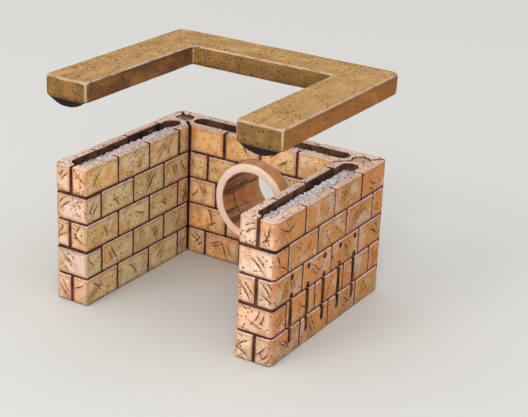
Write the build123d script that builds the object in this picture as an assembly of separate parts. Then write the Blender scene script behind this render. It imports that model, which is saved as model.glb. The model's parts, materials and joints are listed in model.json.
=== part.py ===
from build123d import *
import math
import os

# A culvert headwall in three precast units, set out as a U round the end of a drain pipe.
# +X is to the right for someone who faces the outlet, +Y runs into the bank, +Z is up.
# The origin is on the ground, under the middle of the whole object. Sizes are in millimetres.

# Wall units
COURSE_HEIGHT = 200
COURSE_COUNT = 5
UNIT_THICKNESS = 280
LEAF_THICKNESS = 75
BAY_WIDTH = 1200
WING_LENGTH = 1200
END_CORNER_RADIUS = 45
RIM_CHAMFER = 10

# Mitred corners with a round key on the rear unit and a socket in each wing
KEY_RADIUS = 60
CORNER_JOINT = 0.5
KEY_WEB = 45
FRONT_WEB = 60

# Fill in the cores
FILL_DROP = 50
FILL_GAP = 0.3

# Drain holes in the soil side of each wing
DRAIN_COLUMNS = 5
DRAIN_WIDTH = 40
DRAIN_SLOT_FOOT = 90
DRAIN_SLOT_HEIGHT = 360
DRAIN_HOLE_HEIGHT = 560

# Culvert pipe and its outlet collar
PIPE_BORE = 457
PIPE_WALL = 63.5
PIPE_AXIS_HEIGHT = 570
PIPE_PROJECTION = 110
PIPE_SEAT_GAP = 0.3
PIPE_END_BEVEL = 5
COLLAR_LIP_BEVEL = 14
TONGUE_LENGTH = 40
TONGUE_THICKNESS = 31.5
TONGUE_GAP = 0.5

# Cap stone, drawn lifted off the wall
CAP_OVERHANG = 35
CAP_THICKNESS = 150
CAP_LIFT = 470
CAP_CORNER_RADIUS = 80
CAP_END_RADIUS = 40
CAP_END_BOW = 10
CAP_EDGE_RADIUS = 18
NOSE_WIDTH = 300
NOSE_DEPTH = 55
NOSE_THICKNESS = 16
NOSE_GAP = 8
NOSE_EDGE_RADIUS = 5

# Sizes that follow from those above
WALL_HEIGHT = COURSE_HEIGHT * COURSE_COUNT
CORE_WIDTH = UNIT_THICKNESS - 2 * LEAF_THICKNESS
FILL_TOP = WALL_HEIGHT - FILL_DROP
PIPE_BORE_RADIUS = PIPE_BORE / 2
PIPE_RADIUS = PIPE_BORE_RADIUS + PIPE_WALL
TONGUE_RADIUS = PIPE_BORE_RADIUS + TONGUE_THICKNESS
CAP_BASE = WALL_HEIGHT + CAP_LIFT
ROOT_2 = math.sqrt(2)

# Plan lines, measured from the middle of the bay and from the rear unit's front face
INNER_X = BAY_WIDTH / 2
OUTER_X = INNER_X + UNIT_THICKNESS
MID_X = INNER_X + UNIT_THICKNESS / 2
MID_Y = UNIT_THICKNESS / 2
FRONT_REACH = WING_LENGTH + CAP_OVERHANG + CAP_END_BOW
BACK_REACH = UNIT_THICKNESS + max(PIPE_PROJECTION, CAP_OVERHANG)

# The rear unit's front face lies here, which puts the origin in the middle from front to back
REAR_FACE_Y = (FRONT_REACH - BACK_REACH) / 2

# Ends of the core centre lines, at the centres of their round ends
WING_CORE_FRONT = -WING_LENGTH + FRONT_WEB + CORE_WIDTH / 2
WING_CORE_BACK = MID_Y - KEY_RADIUS - KEY_WEB - CORE_WIDTH / 2
REAR_CORE_END = MID_X - (KEY_WEB + CORE_WIDTH / 2) * ROOT_2


def stadium(start, end, width, bottom, height):
    """Upright prism with round ends, whose centre line runs in plan from start to end."""
    middle = (Vector(*start) + Vector(*end)) / 2
    run = Vector(*end) - Vector(*start)
    outline = SlotCenterToCenter(run.length, width, rotation=math.degrees(math.atan2(run.Y, run.X)))
    return extrude(Pos(middle.X, middle.Y, bottom) * outline, height)


def upright_cylinder(x, y, radius):
    """Full-height cylinder that stands on the ground."""
    return Pos(x, y, WALL_HEIGHT / 2) * Cylinder(radius, WALL_HEIGHT)


def wall_prism(*corners):
    """Wall-high prism over a plan outline."""
    return extrude(make_face(Polyline(*corners, close=True)), WALL_HEIGHT)


def chamfered_rim(shape):
    """The same prism with its upper edges taken off, but for the sloping ones on the mitres."""
    rim = shape.edges().group_by(Axis.Z)[-1]
    worn = rim.filter_by(Axis.X) + rim.filter_by(Axis.Y) + rim.filter_by(GeomType.CIRCLE)
    return chamfer(worn, RIM_CHAMFER)


def cross_cylinder(radius, front, back):
    """Cylinder about the pipe's axis, from one distance behind the rear face to another."""
    return Pos(0, (front + back) / 2, PIPE_AXIS_HEIGHT) * Rot(90, 0, 0) * Cylinder(radius, back - front)


def pipe_ring(*profile):
    """Ring turned about the pipe's axis from points of radius and distance behind the rear face."""
    section = make_face(Polyline(*[(radius, y, 0) for radius, y in profile], close=True))
    return Pos(0, 0, PIPE_AXIS_HEIGHT) * revolve(section, Axis.Y)


def wing_core(width, bottom, height):
    """Prism on the right wing's core line."""
    return stadium((MID_X, WING_CORE_FRONT), (MID_X, WING_CORE_BACK), width, bottom, height)


def rear_core(width, bottom, height):
    """Prism on the rear unit's core line."""
    return stadium((-REAR_CORE_END, MID_Y), (REAR_CORE_END, MID_Y), width, bottom, height)


def left_copy(shape):
    """The same piece on the left side of the bay."""
    return mirror(shape, Plane.YZ)


def drain_columns():
    """Distances of the drain columns behind the rear face, spread over the core's straight part."""
    pitch = (WING_CORE_BACK - WING_CORE_FRONT) / DRAIN_COLUMNS
    return [WING_CORE_FRONT + pitch * (column + 0.5) for column in range(DRAIN_COLUMNS)]


def drain_cutter(y):
    """Tall slot with a round hole over it, through the right wing's soil-side leaf."""
    slot = SlotOverall(DRAIN_SLOT_HEIGHT, DRAIN_WIDTH, rotation=90)
    slot_middle = DRAIN_SLOT_FOOT + DRAIN_SLOT_HEIGHT / 2
    hole = Circle(DRAIN_WIDTH / 2)
    outside = Plane(origin=(OUTER_X, y, 0), x_dir=(0, 1, 0), z_dir=(1, 0, 0))
    cut_depth = LEAF_THICKNESS + CORE_WIDTH / 2
    sketch = Pos(0, slot_middle) * slot + Pos(0, DRAIN_HOLE_HEIGHT) * hole
    return extrude(outside * sketch, -cut_depth)


def right_wing():
    """Hollow wing unit, mitred at the back, with a socket for the rear unit's key."""
    step_back = CORNER_JOINT * ROOT_2
    shape = wall_prism(
        (INNER_X, -WING_LENGTH),
        (OUTER_X, -WING_LENGTH),
        (OUTER_X, UNIT_THICKNESS - step_back),
        (INNER_X, -step_back),
    )
    outer_corner = shape.edges().filter_by(Axis.Z).group_by(Axis.Y)[0].sort_by(Axis.X)[-1]
    shape = chamfered_rim(fillet(outer_corner, END_CORNER_RADIUS))
    shape -= upright_cylinder(MID_X, MID_Y, KEY_RADIUS + CORNER_JOINT)
    shape -= wing_core(CORE_WIDTH, 0, WALL_HEIGHT)
    for y in drain_columns():
        shape -= drain_cutter(y)
    return shape


def rear_unit():
    """Hollow rear unit, mitred and keyed at both ends, with a hole for the pipe."""
    shape = wall_prism(
        (-INNER_X, 0),
        (INNER_X, 0),
        (OUTER_X, UNIT_THICKNESS),
        (-OUTER_X, UNIT_THICKNESS),
    )
    shape = chamfered_rim(shape)
    for x in (-MID_X, MID_X):
        shape += upright_cylinder(x, MID_Y, KEY_RADIUS)
    shape -= rear_core(CORE_WIDTH, 0, WALL_HEIGHT)
    shape -= cross_cylinder(PIPE_RADIUS + PIPE_SEAT_GAP, 0, UNIT_THICKNESS)
    return shape


def rear_fill():
    """Gravel in the rear core, packed round the pipe."""
    fill = rear_core(CORE_WIDTH - 2 * FILL_GAP, 0, FILL_TOP)
    return fill - cross_cylinder(PIPE_RADIUS + PIPE_SEAT_GAP, 0, UNIT_THICKNESS)


def culvert_pipe():
    """Pipe length through the rear unit: grooved in front for the collar, tongued at the back."""
    back = UNIT_THICKNESS + PIPE_PROJECTION
    groove_floor = TONGUE_LENGTH + TONGUE_GAP
    shoulder = back - TONGUE_LENGTH
    return pipe_ring(
        (PIPE_RADIUS, 0),
        (TONGUE_RADIUS + TONGUE_GAP, 0),
        (TONGUE_RADIUS + TONGUE_GAP, groove_floor),
        (PIPE_BORE_RADIUS + PIPE_END_BEVEL, groove_floor),
        (PIPE_BORE_RADIUS, groove_floor + PIPE_END_BEVEL),
        (PIPE_BORE_RADIUS, back - PIPE_END_BEVEL),
        (PIPE_BORE_RADIUS + PIPE_END_BEVEL, back),
        (TONGUE_RADIUS - PIPE_END_BEVEL, back),
        (TONGUE_RADIUS, back - PIPE_END_BEVEL),
        (TONGUE_RADIUS, shoulder),
        (PIPE_RADIUS, shoulder),
    )


def outlet_collar():
    """Ring in front of the wall, whose tongue seats in the pipe's groove."""
    front = -PIPE_PROJECTION
    shoulder = -TONGUE_GAP
    return pipe_ring(
        (PIPE_BORE_RADIUS, front + PIPE_END_BEVEL),
        (PIPE_BORE_RADIUS + PIPE_END_BEVEL, front),
        (PIPE_RADIUS - COLLAR_LIP_BEVEL, front),
        (PIPE_RADIUS, front + COLLAR_LIP_BEVEL),
        (PIPE_RADIUS, shoulder),
        (TONGUE_RADIUS, shoulder),
        (TONGUE_RADIUS, TONGUE_LENGTH),
        (PIPE_BORE_RADIUS + PIPE_END_BEVEL, TONGUE_LENGTH),
        (PIPE_BORE_RADIUS, TONGUE_LENGTH - PIPE_END_BEVEL),
    )


def cap_outline():
    """Plan of the cap stone: a U with round outer corners and bowed arm ends."""
    inner = INNER_X - CAP_OVERHANG
    outer = OUTER_X + CAP_OVERHANG
    back = UNIT_THICKNESS + CAP_OVERHANG
    throat = -CAP_OVERHANG
    end = -WING_LENGTH - CAP_OVERHANG
    arm = (inner + outer) / 2
    edges = [
        Polyline((-outer, end), (-outer, back), (outer, back), (outer, end)),
        ThreePointArc((outer, end), (arm, end - CAP_END_BOW), (inner, end)),
        Polyline((inner, end), (inner, throat), (-inner, throat), (-inner, end)),
        ThreePointArc((-inner, end), (-arm, end - CAP_END_BOW), (-outer, end)),
    ]
    return make_face(edges)


def cap_stone():
    """U-shaped cap with rounded edges and a drip nose under each arm end."""
    shape = extrude(Pos(0, 0, CAP_BASE) * cap_outline(), CAP_THICKNESS)
    uprights = shape.edges().filter_by(Axis.Z).group_by(Axis.Y)
    shape = fillet(uprights[-1], CAP_CORNER_RADIUS)
    shape = fillet(shape.edges().filter_by(Axis.Z).group_by(Axis.Y)[0], CAP_END_RADIUS)
    levels = shape.faces().filter_by(Axis.Z).sort_by(Axis.Z)
    shape = fillet(levels[0].edges() + levels[-1].edges(), CAP_EDGE_RADIUS)
    nose = drip_nose()
    return shape + nose + left_copy(nose)


def drip_nose():
    """Crescent under the right arm's overhang, which hangs in front of the lowered-on wing."""
    radius = ((NOSE_WIDTH / 2) ** 2 + NOSE_DEPTH**2) / (2 * NOSE_DEPTH)
    back = -WING_LENGTH - NOSE_GAP
    disc = Pos(MID_X, back - NOSE_THICKNESS / 2, CAP_BASE - NOSE_DEPTH + radius) * Rot(90, 0, 0)
    disc *= Cylinder(radius, NOSE_THICKNESS)
    disc = fillet(disc.edges().filter_by(GeomType.CIRCLE), NOSE_EDGE_RADIUS)
    height = NOSE_DEPTH + CAP_EDGE_RADIUS
    lowest = (Align.CENTER, Align.CENTER, Align.MIN)
    band = Box(NOSE_WIDTH, 4 * NOSE_THICKNESS, height, align=lowest)
    return disc & Pos(MID_X, back, CAP_BASE - NOSE_DEPTH) * band


wing = right_wing()
wing_fill = wing_core(CORE_WIDTH - 2 * FILL_GAP, 0, FILL_TOP)

parts = {
    "left_wing_wall": left_copy(wing),
    "rear_wall": rear_unit(),
    "right_wing_wall": wing,
    "left_core_fill": left_copy(wing_fill),
    "rear_core_fill": rear_fill(),
    "right_core_fill": wing_fill,
    "culvert_pipe": culvert_pipe(),
    "outlet_collar": outlet_collar(),
    "cap_stone": cap_stone(),
}

os.makedirs("parts", exist_ok=True)
for name, shape in parts.items():
    export_step(Pos(0, REAR_FACE_Y, 0) * shape, f"parts/{name}.step")
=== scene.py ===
import json
import math

import bmesh
import bpy
import numpy as np
from mathutils import Matrix, Vector
from mathutils.kdtree import KDTree


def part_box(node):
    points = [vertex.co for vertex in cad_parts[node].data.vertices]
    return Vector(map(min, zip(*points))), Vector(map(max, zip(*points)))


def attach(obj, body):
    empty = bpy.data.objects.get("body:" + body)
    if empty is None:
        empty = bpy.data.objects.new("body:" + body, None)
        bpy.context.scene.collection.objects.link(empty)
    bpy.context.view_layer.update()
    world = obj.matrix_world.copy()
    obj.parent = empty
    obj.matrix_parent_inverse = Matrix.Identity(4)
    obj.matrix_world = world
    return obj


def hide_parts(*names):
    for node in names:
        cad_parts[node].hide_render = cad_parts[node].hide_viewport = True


# The looks of a block-faced culvert headwall with its cap stone lifted off. Lengths are in metres.
# Wall units are laid out in a local plan: u runs along the unit, w goes from the bay face into the soil.
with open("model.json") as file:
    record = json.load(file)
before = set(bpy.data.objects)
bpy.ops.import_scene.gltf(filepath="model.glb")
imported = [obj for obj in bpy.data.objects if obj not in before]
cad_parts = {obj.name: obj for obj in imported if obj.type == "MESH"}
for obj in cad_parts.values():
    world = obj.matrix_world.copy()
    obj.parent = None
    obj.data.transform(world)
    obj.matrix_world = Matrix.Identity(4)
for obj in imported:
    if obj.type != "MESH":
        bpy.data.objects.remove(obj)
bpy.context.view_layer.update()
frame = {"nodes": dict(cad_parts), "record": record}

# Sizes from the CAD nodes
wing_low, wing_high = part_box("right_wing_wall")
rear_low, rear_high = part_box("rear_wall")
core_low, core_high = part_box("right_core_fill")
rear_core_low, rear_core_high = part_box("rear_core_fill")
pipe_low, pipe_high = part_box("culvert_pipe")
collar_low, collar_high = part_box("outlet_collar")
INNER_X = wing_low.x
THICKNESS = wing_high.x - wing_low.x
FRONT_Y = wing_low.y
REAR_Y = rear_low.y
RIM = wing_high.z
BAY = 2 * INNER_X
WING_LENGTH = REAR_Y - FRONT_Y
CORE_WIDTH = core_high.x - core_low.x
LEAF = (THICKNESS - CORE_WIDTH) / 2
FILL_TOP = core_high.z
PIPE_Z = (pipe_low.z + pipe_high.z) / 2
PIPE_RADIUS = (pipe_high.x - pipe_low.x) / 2
BORE_RADIUS = next(m for m in frame["record"]["mounts"] if m["name"] == "outlet_bore")["dims"]["r_mm"] / 1000

# Block work
COURSES = 5
COURSE = RIM / COURSES
JOINT = 0.009
MITRE_GAP = 0.005
ARRIS = 0.015
MORTAR_DEPTH = 0.013
DEEPEST_CUT = 0.010
FINE_CELL = 0.008
COARSE_CELL = 0.012
KEY_RADIUS = 0.060
KEY_GAP = 0.007
TOP_UNEVEN = 0.012
MOUTH_ARRIS = 0.010
CORNER_ROUND = 0.045
DRAIN_COLUMNS = 5
DRAIN_WIDTH = 0.040
DRAIN_SLOT = (0.090, 0.450)
DRAIN_HOLE_Z = 0.560

# Camera, from the photograph's corners
CAMERA_PLACE = (4.7075, -7.3096, 4.1659)
CAMERA_AZIMUTH = 30.995
CAMERA_ELEVATION = 22.047
CAMERA_ROLL = 2.527
CAMERA_LENS = 92.2


def colour(red, green, blue, alpha=1.0):
    """Linear colour from screen values of 0 to 255."""
    def linear(value):
        share = value / 255
        return share / 12.92 if share <= 0.04045 else ((share + 0.055) / 1.055) ** 2.4
    return (linear(red), linear(green), linear(blue), alpha)


# Stone colours by which way a face looks: the end and rim colours are painted light, the soil colour painted shade,
# and the rear colour is raised a little against the shade in the bay, partly painted light
BAY_OCHRE = colour(222, 200, 150)
REAR_OCHRE = colour(238, 196, 142)
SOIL_SHADED_ORANGE = colour(196, 138, 84)
END_LIT_PEACH = colour(229, 197, 173)
RIM_LIT_CREAM = colour(234, 202, 178)


# Noise

def lattice(x, y, z, seed):
    """A repeatable value from -1 to 1 for each whole-number place."""
    h = (x * 374761393 + y * 668265263 + z * 1103515245 + seed * 362437) & 0xFFFFFFFF
    h = ((h ^ (h >> 13)) * 1274126177) & 0xFFFFFFFF
    return ((h ^ (h >> 16)) & 0xFFFF) / 32767.5 - 1


def noise(points, size, seed):
    """Smooth noise from -1 to 1 whose lumps are about one size across."""
    scaled = np.asarray(points, float) / size + 1000
    base = np.floor(scaled).astype(np.int64)
    part = scaled - base
    part = part * part * (3 - 2 * part)
    total = np.zeros(len(scaled))
    for corner in np.ndindex(2, 2, 2):
        weight = np.prod(np.where(corner, part, 1 - part), axis=1)
        total += weight * lattice(*(base + corner).T, seed)
    return total


# Plan outlines

def inset(corners, gaps):
    """A convex, anticlockwise outline with each side moved in by its own gap."""
    result = []
    for i, corner in enumerate(corners):
        before = corner - corners[i - 1]
        after = corners[(i + 1) % len(corners)] - corner
        normals = [np.array([-run[1], run[0]]) / np.hypot(*run) for run in (before, after)]
        depths = [corner @ normals[0] + gaps[i - 1], corner @ normals[1] + gaps[i]]
        result.append(np.linalg.solve(normals, depths))
    return np.array(result)


def nearest_inside(points, corners):
    """The closest place to each plan point within a convex, anticlockwise outline."""
    best = points.copy()
    gap = np.full(len(points), np.inf)
    inside = np.ones(len(points), bool)
    for start, end in zip(corners, np.roll(corners, -1, 0)):
        run = end - start
        offset = points - start
        inside &= run[0] * offset[:, 1] - run[1] * offset[:, 0] >= -1e-9
        share = np.clip(offset @ run / (run @ run), 0, 1)
        place = start + share[:, None] * run
        distance = np.linalg.norm(points - place, axis=1)
        closer = distance < gap
        best[closer] = place[closer]
        gap[closer] = distance[closer]
    best[inside] = points[inside]
    return best


def plan_gaps(points, corners):
    """Distance from each plan point to each side of an outline."""
    gaps = []
    for start, end in zip(corners, np.roll(corners, -1, 0)):
        run = (end - start) / np.hypot(*(end - start))
        offset = points - start
        gaps.append(np.abs(run[0] * offset[:, 1] - run[1] * offset[:, 0]))
    return np.array(gaps).T


# Blocks

class Block:
    """One stone: plan corners from the bay side round, its heights, its mesh cell and its hidden sides."""

    def __init__(self, corners, bottom, top, cell=FINE_CELL, deep_cell=None, hidden=(), kind="leaf"):
        self.corners = np.array(corners, float)
        self.bottom = bottom
        self.top = top
        self.cell = cell
        self.deep_cell = deep_cell or cell
        self.hidden = hidden
        self.kind = kind


def stations(length, cell):
    """Shares of a length: close together in the rounded arrises and even between them."""
    count = max(1, round((length - 2 * ARRIS) / cell))
    middle = ARRIS + (length - 2 * ARRIS) * np.arange(count + 1) / count
    arris = ARRIS * np.array([0.0, 0.4])
    return np.concatenate([arris, middle, length - arris[::-1]]) / length


def side_quads(ids, axis, end):
    """Quads over one side of a grid of vertex numbers, facing outward."""
    layer = np.take(ids, end, axis)
    quads = np.stack([layer[:-1, :-1], layer[1:, :-1], layer[1:, 1:], layer[:-1, 1:]], -1).reshape(-1, 4)
    return quads[:, ::-1] if (end == 0) != (axis == 1) else quads


def side_outline(ids, axis, end):
    """The rim of one side of a grid as a single polygon, facing outward."""
    layer = np.take(ids, end, axis)
    loop = np.concatenate([layer[:-1, 0], layer[-1, :-1], layer[:0:-1, -1], layer[0, :0:-1]])
    return loop[::-1] if (end == 0) != (axis == 1) else loop


def block_grid(block):
    """Points over a block's plain box, its faces, and which of them are hidden."""
    p00, p10, p11, p01 = block.corners
    along = stations(max(np.hypot(*(p10 - p00)), np.hypot(*(p11 - p01))), block.cell)
    across = stations(max(np.hypot(*(p01 - p00)), np.hypot(*(p11 - p10))), block.deep_cell)
    up = stations(block.top - block.bottom, block.cell)
    i, j, k = np.meshgrid(*(np.arange(len(a)) for a in (along, across, up)), indexing="ij")
    skin = np.zeros(i.shape, bool)
    for index, count in ((i, len(along)), (j, len(across)), (k, len(up))):
        skin |= (index == 0) | (index == count - 1)
    ids = np.full(i.shape, -1)
    ids[skin] = np.arange(skin.sum())
    s, t = along[i[skin]][:, None], across[j[skin]][:, None]
    plan = (1 - s) * (1 - t) * p00 + s * (1 - t) * p10 + s * t * p11 + (1 - s) * t * p01
    height = block.bottom + (block.top - block.bottom) * up[k[skin]]
    points = np.column_stack([plan, height])
    faces, inner = [], []
    for name, axis, end in SIDES:
        if name in block.hidden:
            loop = side_outline(ids, axis, end).tolist()
            faces += [[a, b, len(points)] for a, b in zip(loop, loop[1:] + loop[:1])]
            points = np.vstack([points, points[loop].mean(0)])
        else:
            faces += side_quads(ids, axis, end).tolist()
        inner += [name in block.hidden] * (len(faces) - len(inner))
    return points, faces, inner


SIDES = (
    ("start", 0, 0), ("end", 0, -1), ("bay", 1, 0), ("soil", 1, -1), ("bottom", 2, 0), ("top", 2, -1),
)


def tool_marks(along, up, reach, rng):
    """Depth, painted groove shade and painted brown shade on one side of a few bold, slightly curved chisel cuts over
    one face.
    """
    depth = np.zeros(len(along))
    dark = np.zeros(len(along))
    brown = np.zeros(len(along))
    low, high = reach
    for _ in range(rng.integers(1, 3)):
        radius = rng.uniform(0.09, 0.30)
        middle = rng.uniform(low + 0.3 * (high - low), high - 0.3 * (high - low))
        heading = rng.choice([0.25, 0.75, 1.25, 1.75]) * math.pi + rng.uniform(-0.45, 0.45)
        half_turn = rng.uniform(0.045, 0.085) / radius
        centre = middle - radius * np.array([math.cos(heading), math.sin(heading)])
        step = 0.0
        for _ in range(rng.integers(1, 3)):
            radial = np.hypot(along - centre[0], up - centre[1])
            angle = np.arctan2(up - centre[1], along - centre[0]) - heading
            angle = np.abs((angle + math.pi) % (2 * math.pi) - math.pi)
            window = np.clip(1.25 - angle / half_turn, 0, 1) ** 0.5
            off = radial - radius - step
            tail = np.exp(-np.abs(off) / 0.020) * (off > 0)
            depth = np.maximum(depth, window * (0.0040 * np.exp(-(off / 0.007) ** 2) + 0.0035 * tail))
            dark = np.maximum(dark, window * np.exp(-(off / 0.0055) ** 2))
            brown = np.maximum(brown, window * tail)
            step += rng.uniform(0.026, 0.042)
            half_turn *= 0.6
    return depth, dark, brown


def dressed_face(along, up, reach, rng):
    """Depth of a pitched face made of a few slightly tilted, overlapping flats."""
    low, high = reach
    depth = np.full(len(along), -1.0)
    for _ in range(5):
        middle = rng.uniform(low, high)
        slope = rng.normal(0, 0.030, 2)
        bend = rng.uniform(0.02, 0.12)
        a, b = along - middle[0], up - middle[1]
        flat = rng.uniform(0, 0.0025) + slope[0] * a + slope[1] * b - bend * (a * a + b * b)
        depth = np.maximum(depth, flat)
    return np.clip(depth, 0, 0.008)


def build_block(block, rng):
    """Rounded and dressed mesh of a block: points, faces and what its material needs at each point."""
    points, faces, inner = block_grid(block)
    radius = ARRIS
    core = nearest_inside(points[:, :2], inset(block.corners, [radius] * 4))
    core = np.column_stack([core, np.clip(points[:, 2], block.bottom + radius, block.top - radius)])
    normal = points - core
    reach = np.linalg.norm(normal, axis=1)
    normal /= reach[:, None]
    walls = np.column_stack([plan_gaps(points[:, :2], block.corners),
                             points[:, 2] - block.bottom, block.top - points[:, 2]])
    margin = np.sort(walls, axis=1)[:, 1]
    points = core + radius * normal

    turned = (points[:, 0] < CORNER_ROUND) & (points[:, 1] > THICKNESS - CORNER_ROUND) & (block.kind == "end")
    offset = points[:, :2] - np.array([CORNER_ROUND, THICKNESS - CORNER_ROUND])
    span = np.linalg.norm(offset, axis=1)
    turned &= span > CORNER_ROUND
    offset /= np.maximum(span, 1e-9)[:, None]
    points[turned, :2] = (np.array([CORNER_ROUND, THICKNESS - CORNER_ROUND]) + CORNER_ROUND * offset)[turned]
    level = np.linalg.norm(normal[:, :2], axis=1)[:, None]
    normal[turned, :2] = (offset * level)[turned]

    seed = int(rng.integers(1, 10000))
    depth = 0.0035 * np.exp(-margin / 0.012)
    depth += 0.0012 * (1 + noise(points, 0.060, seed)) + 0.0007 * (1 + noise(points, 0.022, seed + 1))
    dark, brown = np.zeros(len(points)), np.zeros(len(points))
    for outward in ((-1, 0), (0, -1), (0, 1)):
        facing = np.clip(normal[:, :2] @ np.array(outward, float), 0, 1) ** 2
        along = points[:, 1] if outward[0] else points[:, 0]
        low, high = np.array([along.min(), block.bottom]), np.array([along.max(), block.top])
        cut, mark, tail = tool_marks(along, points[:, 2], (low, high), rng)
        flats = dressed_face(along, points[:, 2], (low, high), rng)
        depth += facing * (flats + cut * np.clip(margin / 0.02, 0, 1))
        # Painted shade in each cut's groove and on one side of it.
        dark = np.maximum(dark, facing * mark * np.clip(margin / 0.012 - 0.2, 0, 1))
        brown = np.maximum(brown, facing * tail * np.clip(margin / 0.012 - 0.2, 0, 1))
    level_face = np.abs(normal[:, 2]) ** 4
    depth = depth * (1 - level_face) + 0.0014 * level_face * (1 + noise(points, 0.045, seed + 2))
    depth = DEEPEST_CUT * (1 - np.exp(-depth / DEEPEST_CUT))
    points = points - normal * depth[:, None]
    points[:, 2] = np.clip(points[:, 2], 0.0, RIM)
    arris = np.clip((reach / radius - 1) / 0.41, 0, 1)
    return {"points": points, "faces": faces, "inner": inner, "normal": normal, "dark": dark, "brown": brown,
            "arris": arris, "margin": margin, "shade": rng.uniform(-1, 1), "hue": rng.uniform(-1, 1)}


# Layout of the stones, course by course, with the joint places measured on the bay and soil faces

WING_BAY_JOINTS = {0: (0.18, 0.54, 0.90), 1: (0.36, 0.72, 1.08)}
WING_SOIL_JOINTS = {0: (0.18, 0.555, 0.93, 1.305), 1: (0.375, 0.75, 1.125)}
REAR_BAY_JOINTS = ((0.15, 0.45, 0.75, 1.05), (0.33, 0.60, 0.87), (0.24, 0.96), (0.15, 0.45, 0.75, 1.05),
                   (0.30, 0.60, 0.90))
REAR_SOIL_JOINTS = {0: (-0.10, 0.252, 0.604, 0.956, 1.30), 1: (0.072, 0.424, 0.776, 1.128)}
REAR_TOP_SOIL_JOINTS = (0.26, 0.60, 0.94)


def between(joints, rng):
    """Joints shifted a little, so that no two courses match."""
    return [place + rng.uniform(-0.006, 0.006) for place in joints]


def stretches(marks):
    """Neighbouring pairs of marks."""
    return list(zip(marks[:-1], marks[1:]))


def course_heights(course, rng):
    """Bottom and top of the stones in a course."""
    bottom = course * COURSE + (JOINT / 2 if course else 0)
    top = (course + 1) * COURSE - (JOINT / 2 if course < COURSES - 1 else 0)
    return bottom, top


def stone(quad, gaps, course, rng, **options):
    """A block whose plan is a quad less the joints on its four sides."""
    bottom, top = course_heights(course, rng)
    return Block(inset(np.array(quad, float), gaps), bottom, top, **options)


def bay_leaf(start, end, course, rng, mitred=False):
    """Stone in the bay-side leaf."""
    top = course == COURSES - 1
    depth = LEAF - 0.002 - rng.uniform(0, TOP_UNEVEN if top else 0.006)
    far = end + depth if mitred else end
    gaps = [0, MITRE_GAP if mitred else JOINT / 2, 0, JOINT / 2]
    return stone([(start, 0), (end, 0), (far, depth), (start, depth)], gaps, course, rng,
                 deep_cell=0.03, hidden=() if top else ("soil",))


def soil_leaf(start, end, course, rng, mitred=False):
    """Stone in the soil-side leaf."""
    top = course == COURSES - 1
    depth = LEAF - 0.002 - rng.uniform(0, TOP_UNEVEN if top else 0.006)
    near = end - depth if mitred else end
    gaps = [0, MITRE_GAP if mitred else JOINT / 2, 0, JOINT / 2]
    return stone([(start, THICKNESS - depth), (near, THICKNESS - depth), (end, THICKNESS), (start, THICKNESS)],
                 gaps, course, rng, cell=COARSE_CELL, deep_cell=0.03, hidden=() if top else ("bay",))


def wing_stones(rng):
    """Stones of a wing, from its front end to the mitre at the back."""
    stones = []
    half = THICKNESS / 2
    for course in range(COURSES):
        paired = course % 2 == 0
        bay = between(WING_BAY_JOINTS[paired], rng)
        soil = between(WING_SOIL_JOINTS[paired], rng)
        if paired:
            split = half + rng.uniform(-0.006, 0.012)
            stones.append(stone([(0, 0), (bay[0], 0), (bay[0], split), (0, split)], [0, JOINT / 2, JOINT / 2, 0],
                                course, rng, hidden=("soil", "bottom"), kind="end"))
            stones.append(stone([(0, split), (soil[0], split), (soil[0], THICKNESS), (0, THICKNESS)],
                                [JOINT / 2, JOINT / 2, 0, 0], course, rng, hidden=("bay", "bottom"), kind="end"))
        else:
            stones.append(stone([(0, 0), (bay[0], 0), (soil[0], THICKNESS), (0, THICKNESS)],
                                [0, JOINT / 2, 0, 0], course, rng, hidden=("end", "top", "bottom"), kind="end"))
        stones += [bay_leaf(a, b, course, rng) for a, b in stretches(bay)]
        stones += [soil_leaf(a, b, course, rng) for a, b in stretches(soil)]
        if course == COURSES - 1:
            quad = [(bay[-1], 0), (WING_LENGTH, 0), (WING_LENGTH + THICKNESS, THICKNESS), (soil[-1], THICKNESS)]
            stones.append(stone(quad, [0, MITRE_GAP, 0, JOINT / 2], course, rng, cell=0.010,
                                hidden=("start", "end", "bottom")))
        else:
            stones.append(bay_leaf(bay[-1], WING_LENGTH, course, rng, mitred=True))
            stones.append(soil_leaf(soil[-1], WING_LENGTH + THICKNESS, course, rng, mitred=True))
    return stones


def turned_end(block):
    """The same stone at the other end of the rear unit."""
    p00, p10, p11, p01 = block.corners
    block.corners = np.array([(BAY - p10[0], p10[1]), (BAY - p00[0], p00[1]), (BAY - p01[0], p01[1]),
                              (BAY - p11[0], p11[1])])
    swap = {"start": "end", "end": "start"}
    block.hidden = tuple(swap.get(name, name) for name in block.hidden)
    return block


def rear_stones(rng):
    """Stones of the rear unit, from one mitre to the other."""
    stones = []
    for course in range(COURSES):
        bay = between(REAR_BAY_JOINTS[course], rng)
        top = course == COURSES - 1
        soil = between(REAR_TOP_SOIL_JOINTS if top else REAR_SOIL_JOINTS[course % 2 == 0], rng)
        stones += [bay_leaf(a, b, course, rng) for a, b in stretches(bay)]
        stones += [soil_leaf(a, b, course, rng) for a, b in stretches(soil)]
        if top:
            for near, far, turn in ((bay[-1], soil[-1], False), (BAY - bay[0], BAY - soil[0], True)):
                quad = [(near, 0), (BAY, 0), (BAY + THICKNESS, THICKNESS), (far, THICKNESS)]
                block = stone(quad, [0, MITRE_GAP, 0, JOINT / 2], course, rng, cell=0.010,
                              hidden=("start", "end", "bottom"))
                stones.append(turned_end(block) if turn else block)
        else:
            stones.append(bay_leaf(bay[-1], BAY, course, rng, mitred=True))
            stones.append(soil_leaf(soil[-1], BAY + THICKNESS, course, rng, mitred=True))
            stones.append(turned_end(bay_leaf(BAY - bay[0], BAY, course, rng, mitred=True)))
            stones.append(turned_end(soil_leaf(BAY - soil[0], BAY + THICKNESS, course, rng, mitred=True)))
    return stones


# Meshes

STONE_VALUES = ("dark", "brown", "arris", "margin")


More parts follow.
